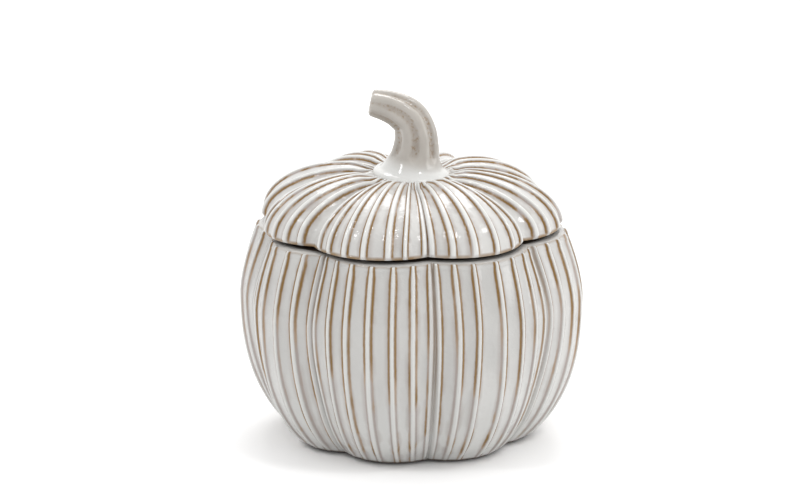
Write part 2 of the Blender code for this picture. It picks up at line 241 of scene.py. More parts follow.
# Colours, as linear RGB
GLAZE_FLUTE = (0.492, 0.485, 0.470)
# The ridges' glaze is whiter than the flutes': partly glaze tone, partly painted light that the crests catch
GLAZE_RIDGE = (0.565, 0.565, 0.550)
BREAK_BROWN = (0.195, 0.105, 0.024)
BREAK_MAUVE = (0.310, 0.262, 0.240)
STEM_GLAZE = (0.430, 0.402, 0.366)
STEM_DARK = (0.250, 0.205, 0.165)
BREAK_TAN = (0.310, 0.205, 0.115)
BARE_CLAY = (0.560, 0.440, 0.320)
# Near-black clay: painted shade in the gap under the lid and on the lid's land, and painted contact shadow on
# the bare clay of the lower edge
CLAY_AND_SHADE_DARK = (0.080, 0.053, 0.036)
CLAY_SPECK = (0.300, 0.200, 0.120)
FLOOR_WHITE = (0.94, 0.94, 0.94)

# Surface
GLAZE_IOR = 1.5
GLAZE_ROUGHNESS = (0.05, 0.12)
CLAY_ROUGHNESS = (0.72, 0.88)
BARE_ROUGHENING = 0.6
LINE_CENTRE = 1.22  # where the glaze breaks brown, in half widths from a rib's centre line
LINE_CORE = 0.08  # half width of a brown line's solid core, in the same measure
LINE_WIDTHS = (0.50, 0.80)
CREST_FALL = (0.45, 0.95)

# Stage
FLOOR_HALF_SIZE = 6.0
LIGHT_TARGET = (0.0, 0.0, 0.10)
FILL_TARGET = (0.0, 0.0, 0.08)
# Soft boxes: name, place, the point it faces, side in metres and power in watts
SOFT_BOXES = (
    ("back_softbox", (0.05, 0.80, 1.20), LIGHT_TARGET, (0.90, 0.60), 8.0),
    ("right_softbox", (0.65, -0.45, 1.35), LIGHT_TARGET, (0.20, 0.20), 3.5),
    ("right_fill", (1.30, -0.35, 0.45), FILL_TARGET, (0.60, 0.60), 3.0),
    ("left_softbox", (-0.75, -0.45, 1.20), LIGHT_TARGET, (0.16, 0.16), 2.4),
)
SURROUND_FRONT = 0.72
SURROUND_BACK = 1.20
SURROUND_FRONT_END = -0.85
CAMERA_ELEVATION = math.radians(15.8)
CAMERA_DISTANCE = 1.8
CAMERA_SENSOR = 36.0
VIEW_WIDTH = 0.416
AIM_SIDE = -0.006
AIM_HEIGHT_SHARE = 0.546


def smooth(low, high, value):
    """Rise smoothly from 0 at low to 1 at high. It falls instead where low is above high."""
    share = np.clip((value - low) / (high - low), 0.0, 1.0)
    return share * share * (3.0 - 2.0 * share)


def crestness(angle, lobes):
    """0 in a crease between two lobes and 1 on a lobe's crest."""
    creases = np.radians([lobe[0] for lobe in lobes] + [lobes[0][0] + 360.0])
    turned = creases[0] + (angle - creases[0]) % (2.0 * math.pi)
    phase = np.interp(turned, creases, np.arange(len(creases)))
    return np.abs(np.sin(math.pi * phase)) ** CREASE_SHARPNESS


def body_radius(height):
    """Radius of the body's outer side between ribs, on a lobe's crest."""
    below = np.clip((WIDEST_HEIGHT - height) / LOWER_REACH, 0.0, 1.0)
    above = np.clip((height - WIDEST_HEIGHT) / UPPER_REACH, 0.0, 1.0)
    lower = (1.0 - below**LOWER_POWER) ** (1.0 / LOWER_POWER)
    upper = (1.0 - above**UPPER_POWER) ** (1.0 / UPPER_POWER)
    return BODY_RADIUS * lower * upper


def rib_centres(lobes):
    """Angles of all the ribs around the axis, in order. They stand closer together beside a crease."""
    centres = []
    ends = [lobe[0] for lobe in lobes[1:]] + [lobes[0][0] + 360.0]
    for (start, first_gap, last_gap, count), end in zip(lobes, ends):
        share = np.linspace(0.0, 1.0, count)
        share = share - RIB_SQUEEZE * np.sin(2.0 * math.pi * share) / (2.0 * math.pi)
        centres.extend(start + first_gap + share * (end - start - first_gap - last_gap))
    return np.radians(centres)


def wander(rng, count, share, amount):
    """A slow wave along each of the lines, with its own phase, as hand-finished ribs have."""
    phase = rng.uniform(0.0, 2.0 * math.pi, (2, count, 1))
    pace = rng.uniform(0.6, 1.4, (count, 1))
    waves = np.sin(2.2 * pace * share + phase[0]) + 0.5 * np.sin(6.0 * pace * share + phase[1])
    return amount * waves


def grid_faces(rows, columns, wrap_rows):
    """Quads of a grid of vertices that closes around its columns, and around its rows if asked."""
    row = np.arange(rows if wrap_rows else rows - 1)[:, None]
    column = np.arange(columns)[None, :]
    after = (column + 1) % columns
    above = (row + 1) % rows
    start = row * columns
    over = above * columns
    corners = (start + column, start + after, over + after, over + column)
    return np.stack(np.broadcast_arrays(*corners), axis=-1).reshape(-1, 4).tolist()


def grid_object(name, points, fields, wrap_rows=False):
    """Build an object from points[row, column]. Fields are floats per vertex.

    End rows that don't join are each closed by a fan.
    """
    rows, columns = points.shape[:2]
    vertices = points.reshape(-1, 3)
    faces = grid_faces(rows, columns, wrap_rows)
    values = {key: field.ravel() for key, field in fields.items()}
    if not wrap_rows:
        last = (rows - 1) * columns
        ends = np.stack([points[0].mean(axis=0), points[-1].mean(axis=0)])
        low_pole, high_pole = len(vertices), len(vertices) + 1
        for column in range(columns):
            after = (column + 1) % columns
            faces.append((low_pole, after, column))
            faces.append((high_pole, last + column, last + after))
        vertices = np.concatenate([vertices, ends])
        values = {key: np.append(field, (field[0], field[-1])) for key, field in values.items()}
    mesh = bpy.data.meshes.new(name)
    mesh.from_pydata(vertices.tolist(), [], faces)
    for key, field in values.items():
        mesh.attributes.new(key, "FLOAT", "POINT").data.foreach_set("value", field.astype(np.float32))
    mesh.shade_smooth()
    mesh.update()
    item = bpy.data.objects.new(name, mesh)
    bpy.context.scene.collection.objects.link(item)
    return item


def profile_normals(radius, height):
    """Outward directions along a profile whose outside is on the right of its direction of travel."""
    along_r = np.gradient(radius)
    along_z = np.gradient(height)
    length = np.maximum(np.hypot(along_r, along_z), 1e-9)
    return along_z / length, -along_r / length


def arc(centre, radii, start_deg, end_deg, steps):
    """Points (radius, height) along part of an ellipse, without its end point."""
    turns = np.radians(np.linspace(start_deg, end_deg, steps, endpoint=False))
    return [(centre[0] + radii[0] * math.cos(t), centre[1] + radii[1] * math.sin(t)) for t in turns]


def line(start, end, steps):
    """Points (radius, height) along a straight line, without its end point."""
    shares = np.linspace(0.0, 1.0, steps, endpoint=False)
    return [(start[0] + s * (end[0] - start[0]), start[1] + s * (end[1] - start[1])) for s in shares]


def rib_grid(centres, radius, half_width, wave):
    """Angles of every column on every row, and where each column stands on its rib.

    Each rib has a column on its centre line, four on each side up to its foot, one in each half of the flutes
    beside it and one midway to the next rib. Returns angle, distance from the rib's centre in shares of its
    half width, share of the way to the middle of the flute, side (-1, 0 or 1) and half gap in metres.
    """
    ribs = len(centres)
    rows = len(radius)
    lines = centres[:, None] + wave
    gap_after = 0.5 * ((np.roll(lines, -1, axis=0) - lines) % (2.0 * math.pi))
    gap_before = np.roll(gap_after, 1, axis=0)
    angle = np.zeros((rows, ribs, COLUMNS_PER_RIB))
    across = np.zeros_like(angle)
    flute = np.zeros_like(angle)
    side = np.zeros_like(angle)
    half_gap = np.zeros_like(angle)
    centre_column = len(COLUMN_STEPS) + 1
    for column in range(COLUMNS_PER_RIB):
        step = column - centre_column
        direction = 1.0 if step >= 0 else -1.0
        gap = (gap_after if step >= 0 else gap_before) * radius[None, :]
        squeeze = np.minimum(1.0, LARGEST_GAP_SHARE * gap / (COLUMN_STEPS[-1] * half_width))
        foot = COLUMN_STEPS[-1] * half_width * squeeze
        if step == 0:
            reach = np.zeros_like(gap)
        elif abs(step) <= len(COLUMN_STEPS):
            reach = COLUMN_STEPS[abs(step) - 1] * half_width * squeeze
        else:
            share = (abs(step) - len(COLUMN_STEPS)) / 2.0
            reach = foot + share * (gap - foot)
        angle[:, :, column] = (lines + direction * reach / radius[None, :]).T
        across[:, :, column] = (reach / half_width).T
        flute[:, :, column] = (reach / gap).T
        side[:, :, column] = 0.0 if step == 0 else direction
        half_gap[:, :, column] = gap.T
    shape = (rows, ribs * COLUMNS_PER_RIB)
    return [part.reshape(shape) for part in (angle, across, flute, side, half_gap)]


def rib_relief(across, flute, half_gap, height):
    """How far a rib stands out of the pot's plain surface and how far a flute is scooped into it."""
    bead = 1.0 - smooth(*BEAD_FALL, across)
    scoop = 1.0 - (1.0 - flute) ** 2
    return height * bead, FLUTE_DEPTH * scoop * np.minimum(1.0, half_gap / FULL_SCOOP_GAP)


def foot_section():
    """The body's section below: the recess, the foot ring and the step out to the lobes' lower edge."""
    recess_end = FOOT_INNER - RECESS_MARGIN
    land_start = FOOT_INNER + FOOT_BEVEL
    land_end = FOOT_OUTER - FOOT_ROUNDING
    base_end = float(body_radius(BASE_EDGE_HEIGHT)) - BASE_EDGE_REACH
    points = line((AXIS_GAP, FOOT_RECESS), (recess_end, FOOT_RECESS), 5)
    points += arc((recess_end, FOOT_RECESS - FOOT_ROUNDING), (FOOT_ROUNDING, FOOT_ROUNDING), 90, 20, 3)
    points += arc((land_start, FOOT_ROUNDING), (FOOT_BEVEL, FOOT_ROUNDING), 180, 270, 4)
    points += line((land_start, 0.0), (land_end, 0.0), 3)
    points += arc((land_end, FOOT_ROUNDING), (FOOT_ROUNDING, FOOT_ROUNDING), 270, 360, 4)
    points += line((FOOT_OUTER, FOOT_HEIGHT), (base_end, FOOT_HEIGHT + BASE_RISE), 4)
    points += arc((base_end, BASE_EDGE_CENTRE), BASE_EDGE_RADII, 270, 345, 7)
    return points


def outer_section():
    """The body's outer side, with finer steps toward the foot and toward the rim."""
    shoulder_start = SHOULDER_HEIGHT - SHOULDER_LENGTH
    stretches = (
        (SIDE_START, LOW_SIDE_END, 8),
        (LOW_SIDE_END, shoulder_start, 36),
        (shoulder_start, SHOULDER_HEIGHT, 14),
    )
    heights = np.concatenate([np.linspace(*stretch, endpoint=False) for stretch in stretches])
    return [(float(body_radius(height)), float(height)) for height in heights]


def rim_section():
    """Over the rim, down through the mouth and out again under the ledge."""
    lip = (float(body_radius(SHOULDER_HEIGHT)) - RIM_RADIUS, RIM_HEIGHT - SHOULDER_HEIGHT)
    turn = MOUTH_RADIUS + MOUTH_ROUNDING
    rounding = (MOUTH_ROUNDING, MOUTH_ROUNDING)
    under = RIM_HEIGHT - LEDGE_THICKNESS
    inner_top = float(body_radius(under - INNER_TOP_DROP)) - WALL
    points = arc((RIM_RADIUS, SHOULDER_HEIGHT), lip, 0, 90, 16)
    points += line((RIM_RADIUS, RIM_HEIGHT), (turn, RIM_HEIGHT), 6)
    points += arc((turn, RIM_HEIGHT - MOUTH_ROUNDING), rounding, 90, 180, 4)
    points += line((MOUTH_RADIUS, RIM_HEIGHT - MOUTH_ROUNDING), (MOUTH_RADIUS, under + MOUTH_ROUNDING), 2)
    points += arc((turn, under + MOUTH_ROUNDING), rounding, 180, 255, 3)
    ledge_start = (MOUTH_RADIUS + LEDGE_START[0], under - LEDGE_START[1])
    ledge_end = (inner_top - LEDGE_END[0], under - LEDGE_END[1])
    points += line(ledge_start, ledge_end, 4)
    return points


def inner_section():
    """Down the inner side, round the corner and in over the floor."""
    top = RIM_HEIGHT - LEDGE_THICKNESS - INNER_TOP_DROP
    bottom = FLOOR + CORNER_HEIGHT
    heights = np.linspace(top, bottom, 12)
    points = [(float(body_radius(height)) - WALL, float(height)) for height in heights]
    corner = float(body_radius(bottom)) - WALL - CORNER_INSET
    points += arc((corner, bottom), CORNER_RADII, -12, -90, 6)
    points += line((corner, FLOOR), (AXIS_GAP, FLOOR), 4)
    return points


def body_profile():
    """The body's section: from the middle of the bottom up the outside, over the rim and down the inside."""
    return np.array(foot_section() + outer_section() + rim_section() + inner_section()).T


def body_lobes(angle, height):
    """How far the body draws in toward a crease. The creases deepen toward the foot and the rim."""
    toward_end = smooth(0.0, 0.6 * WIDEST_HEIGHT, np.abs(height - WIDEST_HEIGHT))
    depth = BODY_CREASE_DEPTH + END_CREASE_DEPTH * toward_end
    return 1.0 - depth * (1.0 - crestness(angle, BODY_LOBES))


def lobed_share(radius, height, inner):
    """How far each row of the body follows the lobes: less toward the foot, the mouth and the floor."""
    outside = smooth(FOOT_OUTER, FOOT_OUTER + LOBES_START, radius)
    round_mouth = smooth(MOUTH_RADIUS + ROUND_MOUTH, RIM_RADIUS, radius)
    below_ledge = smooth(RIM_HEIGHT - INNER_LOBES[0], RIM_HEIGHT - INNER_LOBES[1], height)
    inside = below_ledge * smooth(*ROUND_FLOOR, radius)
    on_rim = height > RIM_HEIGHT - RIM_BAND
    return np.where(inner, np.where(on_rim, round_mouth, inside), outside)


def bare_and_shade_share(radius, height, row, rim_row, side):
    """Where the body is dark clay: bare clay on the foot ring, bare clay darkened as painted contact shadow
    along the lower edge, and painted shade of the gap on the rim under the lid.
    """
    foot = (radius < FOOT_OUTER + 0.3 * MM) & (height < FOOT_RECESS * 0.9) & (row < rim_row)
    # painted shade: the rim's seat under the lid's edge is dark where the gap's shade falls
    gap_shade = smooth(GAP_SHADE_RADIUS, GAP_SHADE_RADIUS - 1.0 * MM, radius)
    under_lid = np.where(row > rim_row - RIM_ROWS, gap_shade, 0.0)
    # bare clay along the lower edge, painted near-black as contact shadow
    lower_edge = smooth(*LOWER_EDGE, height) * side
    return np.maximum(np.where(height > RIM_HEIGHT - RIM_BAND, under_lid, foot), lower_edge)


def arch_field(before_tip, flute, across):
    """The thin, brown line along the arch that closes each flute, and where the arch starts."""
    start = ARCH_GAP + ARCH_RISE * (1.0 - flute) ** 2
    from_line = (before_tip - start - ARCH_LINE_OFFSET) / ARCH_LINE_WIDTH
    return np.exp(-(from_line**2)) * smooth(0.9, 1.5, across), start


def make_body():
    """The jar's cast body."""
    rng = np.random.default_rng(BODY_SEED)
    place_spread, wander_size, width_spread, height_spread = BODY_RIB_SPREAD
    radius, height = body_profile()
    out_r, out_z = profile_normals(radius, height)
    row = np.arange(len(radius))
    rim_row = int(np.argmax(height))
    outside = (row <= rim_row).astype(float)
    side = outside * smooth(FOOT_OUTER + RIBS_START[0], FOOT_OUTER + RIBS_START[1], radius)
    lobed = lobed_share(radius, height, row > rim_row)

    centres = rib_centres(BODY_LOBES)
    centres = centres + rng.normal(0.0, math.radians(place_spread), len(centres))
    share = height / RIM_HEIGHT
    wave = wander(rng, len(centres), share[None, :], math.radians(wander_size))
    run = np.concatenate([[0.0], np.cumsum(np.hypot(np.diff(radius), np.diff(height)))])
    before_tip = run[int(np.argmax(height > RIB_TIP_HEIGHT))] - run
    taper = 0.70 + 0.30 * smooth(0.0, RIB_TAPER_LENGTH, before_tip)
    narrowing = np.minimum(1.0, radius / BODY_RADIUS * 1.15)
    own_width = rng.normal(1.0, width_spread, (len(centres), 1))
    half_width = RIB_HALF_WIDTH * own_width * (taper * narrowing)[None, :]
    angle, across, flute, on_side, half_gap = rib_grid(centres, radius, half_width, wave)

    own_height = np.repeat(rng.normal(1.0, height_spread, len(centres)), COLUMNS_PER_RIB)[None, :]
    bead, scoop = rib_relief(across, flute, half_gap, BODY_RIB_HEIGHT)
    tip = smooth(0.0, RIB_TIP_ROUNDING, before_tip) * side
    standing = tip * smooth(FOOT_HEIGHT, RIBS_FULL_HEIGHT, height)
    arch_line, arch_start = arch_field(before_tip[:, None], flute, across)
    arch = smooth(arch_start, arch_start + ARCH_RISE, before_tip[:, None]) * side[:, None]
    arch = arch * smooth(FOOT_HEIGHT, FLUTES_FULL_HEIGHT, height[:, None])
    lip = (smooth(1.0 * MM, -1.0 * MM, before_tip) * side)[:, None]
    relief = bead * standing[:, None] * own_height - scoop * arch
    ripple = RIPPLE_DEPTH * np.sin(3.0 * angle + 40.0 * height[:, None]) * side[:, None]
    scale = 1.0 - lobed[:, None] * (1.0 - body_lobes(angle, height[:, None]))
    reach = radius[:, None] * scale + (relief + ripple) * out_r[:, None]
    level = height[:, None] + (relief + ripple) * out_z[:, None]
    points = np.stack([reach * np.sin(angle), -reach * np.cos(angle), level], axis=-1)

    narrow = smooth(3.0, 2.0, half_gap / RIB_HALF_WIDTH)
    paling = narrow * (0.5 + 0.35 * smooth(0.75, 0.15, share[:, None]))
    bare_and_shade = bare_and_shade_share(radius, height, row, rim_row, side)
    fields = {
        "across": np.minimum(across, WIDEST_FIELD),
        "rib": tip[:, None] * (1.0 - paling),
        "bias": on_side * np.sin(angle),
        "bare_and_shade": np.broadcast_to(bare_and_shade[:, None], angle.shape),
        "edge": np.maximum(0.50 * arch_line, 0.10 * lip),
    }
    return grid_object("jar_body_glazed", points, fields)


def lid_profile():
    """The lid's section, from the middle of the seat, over the dome, in under the edge and up the hollow."""
    crown = LID_CROWN_RADIUS
    seat_end = SEAT_RADIUS - SEAT_MARGIN
    points = line((AXIS_GAP, SEAT_HEIGHT), (seat_end, SEAT_HEIGHT), 4)
    for share in np.linspace(0.0, 1.0, 9, endpoint=False):
        radius = seat_end + share * (crown - SEAT_RADIUS + SEAT_MARGIN)
        rise = math.sin(0.5 * math.pi * share) ** SEAT_RISE_POWER
        points.append((radius, SEAT_HEIGHT + rise * (LID_HEIGHT - SEAT_HEIGHT)))
    for turn in 0.5 * math.pi * np.linspace(0.0, 1.0, DOME_STEPS) ** DOME_SPACING:
        out = math.sin(turn) ** (2.0 / LID_DOME_POWER)
        up = max(math.cos(turn), 0.0) ** (2.0 / LID_DOME_POWER)
        height = LID_EDGE_HEIGHT + up * (LID_HEIGHT - LID_EDGE_HEIGHT)
        points.append((crown + out * (LID_RADIUS - crown), height))
    points += arc((LID_RADIUS - EDGE_ROUNDING[0], LID_EDGE_HEIGHT - EDGE_DROP), EDGE_ROUNDING, -15, -90, 5)
    underside_start = (LID_RADIUS - UNDERSIDE_INSET, LID_EDGE_HEIGHT - UNDERSIDE_DROP)
    points += line(underside_start, (LID_LAND_RADIUS + 1.0 * MM, UNDERSIDE_HEIGHT), 6)
    points += line((LID_LAND_RADIUS + LAND_BEVEL[0], LAND_BEVEL[1]), (LID_LAND_RADIUS, 0.0), 2)
    points += line((LID_LAND_RADIUS, 0.0), (LAND_INNER, 0.0), 6)
    for start, end, steps in LID_HOLLOW:
        points += line((start[0] * MM, start[1] * MM), (end[0] * MM, end[1] * MM), steps)
    return np.array(points).T


def make_lid():
    """The lid's cast shell."""
    rng = np.random.default_rng(LID_SEED)
    place_spread, wander_size, width_spread, height_spread = LID_RIB_SPREAD
    radius, height = lid_profile()
    in_r, in_z = profile_normals(radius, height)
    out_r, out_z = -in_r, -in_z
    row = np.arange(len(radius))
    edge_row = int(np.argmax(radius))
    outside = row <= edge_row + UNDERSIDE_ROWS
    dome = np.where(outside, smooth(SEAT_RADIUS - 2.0 * MM, SEAT_RADIUS + 6.0 * MM, radius), 0.0)
    underside = smooth(LID_LAND_RADIUS, LID_RADIUS, radius) * (row < edge_row + HOLLOW_ROWS)
    lobed = np.where(outside, dome, underside)
    lowered = smooth(LID_EDGE_HEIGHT, LID_HEIGHT, height) * dome
    above_edge = smooth(LID_EDGE_HEIGHT - 0.6 * MM, LID_EDGE_HEIGHT + 1.4 * MM, height)
    from_seat = smooth(SEAT_RADIUS - 5.0 * MM, SEAT_RADIUS - 1.0 * MM, radius)
    ribbed = np.where(row <= edge_row, from_seat * above_edge, 0.0)

    centres = rib_centres(LID_LOBES)
    centres = centres + rng.normal(0.0, math.radians(place_spread), len(centres))
    along = row / edge_row
    wave = wander(rng, len(centres), along[None, :], math.radians(wander_size))
    own_width = rng.normal(1.0, width_spread, (len(centres), 1))
    spread = np.clip(radius / LID_RADIUS, 0.2, 1.0)
    half_width = RIB_HALF_WIDTH * LID_RIB_WIDENING * own_width * (0.30 + 0.70 * spread)[None, :]
    angle, across, flute, on_side, half_gap = rib_grid(centres, radius, half_width, wave)

    own_height = np.repeat(rng.normal(1.0, height_spread, len(centres)), COLUMNS_PER_RIB)[None, :]
    bead, scoop = rib_relief(across, flute, half_gap, LID_RIB_HEIGHT)
    fine = (0.45 + 0.55 * spread)[:, None]
    relief = (bead * own_height * fine - 0.8 * scoop) * ribbed[:, None]
    valley = 1.0 - crestness(angle, LID_LOBES)
    out_of_round = -LID_OUT_OF_ROUND * np.sin(angle) * lobed[:, None]
    reach = radius[:, None] * (1.0 - LID_CREASE_DEPTH * valley * lobed[:, None]) + relief * out_r[:, None]
    reach = reach + out_of_round
    level = height[:, None] - LID_CREASE_DROP * valley * lowered[:, None] + relief * out_z[:, None]
    points = np.stack([reach * np.sin(angle), -reach * np.cos(angle), level + LID_BASE], axis=-1)

    # painted shade: the lid's land is near-black clay, standing in for the shade in the gap
    land = (row >= edge_row + EDGE_ROWS) & (height < LAND_TOP)
    low_edge = smooth(LID_EDGE_HEIGHT + 1.1 * MM, LID_EDGE_HEIGHT + 0.2 * MM, height)
    edge = low_edge * (row <= edge_row + EDGE_ROWS)
    fields = {
        "across": np.minimum(across, WIDEST_FIELD),
        "rib": np.broadcast_to(ribbed[:, None], angle.shape),
        "bias": on_side * np.sin(angle),
        "bare_and_shade": np.broadcast_to(land[:, None].astype(float), angle.shape),
        "edge": edge[:, None] * smooth(0.5, 1.3, across),
    }
    return grid_object("lid_shell_glazed", points, fields)


def spline(values, stations, wanted):
    """Smooth values between stations (Catmull-Rom), at the wanted places."""
    slopes = np.gradient(values, stations)
    index = np.clip(np.searchsorted(stations, wanted) - 1, 0, len(stations) - 2)
    span = stations[index + 1] - stations[index]
    t = (wanted - stations[index]) / span
    rise = values[index + 1] - values[index]
    a = slopes[index] * span - rise
    b = rise - slopes[index + 1] * span
    return values[index] + rise * t + t * (1.0 - t) * (a * (1.0 - t) + b * t)


def held(values, extra):
    """Repeat the last value for the rings of the tip."""
    return np.append(values, np.full(extra, values[-1]))


def make_stem():
    """The curved stem: a fluted tube with a flared collar and a blunt, rounded tip."""
    rng = np.random.default_rng(STEM_SEED)
    x, height, radius = np.array(STEM_STATIONS).T * MM
    lengths = np.concatenate([[0.0], np.cumsum(np.hypot(np.diff(x), np.diff(height)))])
    collar = np.linspace(0.0, COLLAR_LENGTH, 14, endpoint=False)
    wanted = np.concatenate([collar, np.linspace(COLLAR_LENGTH, lengths[-1], 100)])
    line_x = spline(x, lengths, wanted)
    line_z = spline(height, lengths, wanted)
    girth = spline(radius, lengths, wanted)
    turn = np.unwrap(np.arctan2(np.gradient(line_x), np.gradient(line_z)))

    cap = np.linspace(0.0, 0.5 * math.pi, 9)[1:]
    dish_share, dish_reach = np.array(TIP_DISH).T
    reach = np.concatenate([np.zeros(len(wanted)), CAP_LENGTH * np.sin(cap), dish_reach * MM])
    shrink = np.concatenate([np.ones(len(wanted)), 1.0 - CAP_NARROWING * (1.0 - np.cos(cap)), dish_share])
    extra = len(shrink) - len(wanted)
    line_x = held(line_x, extra) + reach * math.sin(turn[-1])
    line_z = held(line_z, extra) + reach * math.cos(turn[-1])
    girth = held(girth, extra) * shrink
    turn = held(turn, extra)

    around = np.linspace(0.0, 2.0 * math.pi, STEM_SIDES, endpoint=False)[None, :]
    share = np.clip(held(wanted, extra) / wanted[-1], 0.0, 1.0)[:, None]
    twist = STEM_TWIST * share
    flute = 0.5 + 0.5 * np.cos(STEM_FLUTES * (around + twist) + 0.6 * np.sin(around))
    fluted = smooth(0.10, 0.28, share) * (1.0 - 0.35 * smooth(0.8, 1.0, share))
    unevenness = 0.02 * np.sin(2.0 * around + 5.0 * share) + rng.normal(0.0, 0.0004, (len(share), 1))
    size = girth[:, None] * (1.0 - STEM_FLUTE_DEPTH * fluted * flute**1.5 + unevenness * fluted)
    side = size * np.cos(around)
    px = line_x[:, None] + side * np.cos(turn)[:, None]
    py = -size * np.sin(around)
    pz = np.maximum(line_z[:, None] - side * np.sin(turn)[:, None], 0.0)
    c, s = math.cos(LID_TURN), math.sin(LID_TURN)
    points = np.stack([px * c - py * s, px * s + py * c, pz + STEM_FOOT], axis=-1)
    fields = {
        "flute": flute * fluted,
        "along": np.broadcast_to(share, flute.shape),
    }
    return grid_object("stem_handle_glazed", points, fields)


def make_ring():
    """The locating ring under the lid, in bare clay with softened edges."""
    low = RING_LOW + RING_ROUNDING
    rounding = (RING_ROUNDING, RING_ROUNDING)
    points = arc((RING_OUTER - RING_ROUNDING, low), rounding, 270, 360, 6)
    points += line((RING_OUTER, low), (RING_OUTER, RING_HIGH), 8)
    points += line((RING_OUTER, RING_HIGH), (RING_INNER, RING_HIGH), 4)
    points += line((RING_INNER, RING_HIGH), (RING_INNER, low), 8)
    points += arc((RING_INNER + RING_ROUNDING, low), rounding, 180, 270, 6)
    points += line((RING_INNER + RING_ROUNDING, RING_LOW), (RING_OUTER - RING_ROUNDING, RING_LOW), 3)
    radius, height = np.array(points).T
    angle = np.linspace(0.0, 2.0 * math.pi, RING_SIDES, endpoint=False)[None, :]
    wobble = 1.0 + 0.0012 * np.sin(3.0 * angle + 1.0) + 0.0008 * np.sin(7.0 * angle)
    reach = radius[:, None] * wobble
    level = np.broadcast_to(height[:, None], reach.shape)
    grid = np.stack([reach * np.sin(angle), -reach * np.cos(angle), level], axis=-1)
    return grid_object("lid_locating_ring_clay", grid, {}, wrap_rows=True)


class Nodes:
    """Adds shader nodes to one material and joins them."""

    def __init__(self, name):
        self.material = bpy.data.materials.new(name)
        self.material.use_nodes = True
        self.tree = self.material.node_tree
        self.shader = self.tree.nodes["Principled BSDF"]

    def put(self, value, socket):
        """Set a socket to a number or a colour, or join another socket to it."""
        if isinstance(value, bpy.types.NodeSocket):
            self.tree.links.new(value, socket)
        else:
            socket.default_value = value

    def math(self, operation, a, b=0.0):
        """A Math node's result."""
        node = self.tree.nodes.new("ShaderNodeMath")
        node.operation = operation
        self.put(a, node.inputs[0])
        self.put(b, node.inputs[1])
        return node.outputs[0]

    def ramp(self, value, low, high, to_low=0.0, to_high=1.0):
        """Map a range smoothly onto another."""
        node = self.tree.nodes.new("ShaderNodeMapRange")
        node.interpolation_type = "SMOOTHSTEP"
        for socket, item in zip(node.inputs, (value, low, high, to_low, to_high)):
            self.put(item, socket)
        return node.outputs[0]

    def mix(self, factor, a, b):
        """Blend two colours."""
        node = self.tree.nodes.new("ShaderNodeMix")
        node.data_type = "RGBA"
        self.put(factor, node.inputs["Factor"])
        for value, index in ((a, 6), (b, 7)):
            self.put((*value, 1.0) if isinstance(value, tuple) else value, node.inputs[index])
        return node.outputs[2]

    def field(self, name):
        """A float stored on the mesh."""
        node = self.tree.nodes.new("ShaderNodeAttribute")
        node.attribute_name = name
        return node.outputs["Fac"]

    def place(self, scale=(1.0, 1.0, 1.0)):
        """Object coordinates, stretched."""
        coordinates = self.tree.nodes.new("ShaderNodeTexCoord")
        mapping = self.tree.nodes.new("ShaderNodeMapping")
        mapping.inputs["Scale"].default_value = scale
        self.tree.links.new(coordinates.outputs["Object"], mapping.inputs["Vector"])
        return mapping.outputs["Vector"]

    def height(self):
        """Height above the floor, in metres."""
        split = self.tree.nodes.new("ShaderNodeSeparateXYZ")
        self.put(self.place(), split.inputs["Vector"])
        return split.outputs["Z"]

    def noise(self, scale, detail=2.0, stretch=(1.0, 1.0, 1.0)):
        """Noise of about this many waves to the metre."""
        node = self.tree.nodes.new("ShaderNodeTexNoise")
        self.put(self.place(stretch), node.inputs["Vector"])
        node.inputs["Scale"].default_value = scale
        node.inputs["Detail"].default_value = detail
        return node.outputs["Fac"]

    def bump(self, value, depth, normal=None):
        """Bump of this depth in metres, on top of another one if given."""
        node = self.tree.nodes.new("ShaderNodeBump")
        node.inputs["Strength"].default_value = 1.0
        node.inputs["Distance"].default_value = depth
        self.put(value, node.inputs["Height"])
        if normal is not None:
            self.put(normal, node.inputs["Normal"])
        return node.outputs["Normal"]


def break_strength(n, long_patches, fade_height):
    """How strongly the glaze breaks brown: in long patches, more higher up, and more on the flanks turned away
    from the front, which is painted shade.
    """
    # painted shade: the real brown lines grow stronger on the flanks turned away from the front, as if shaded
    far_flank_shade = n.math("MULTIPLY", n.field("bias"), 0.10)
    rise = n.ramp(n.height(), 0.0, fade_height, -0.10, 0.15)
    return n.ramp(n.math("ADD", n.math("ADD", long_patches, far_flank_shade), rise), 0.34, 0.62)


def break_line(n, across, strength, line_width):
    """Mask of the thin lines that run along both flanks of every rib."""
    fine = n.noise(900.0, 2.0, (1.0, 1.0, 0.35))
    shifted = n.math("ADD", across, n.math("MULTIPLY", n.math("SUBTRACT", fine, 0.5), 0.35))
    from_line = n.math("ABSOLUTE", n.math("SUBTRACT", shifted, LINE_CENTRE))
    narrowest, widest = (line_width * width for width in LINE_WIDTHS)
    line_edge = n.ramp(strength, 0.0, 1.0, narrowest, widest)
    return n.ramp(from_line, LINE_CORE, line_edge, 1.0, 0.0)


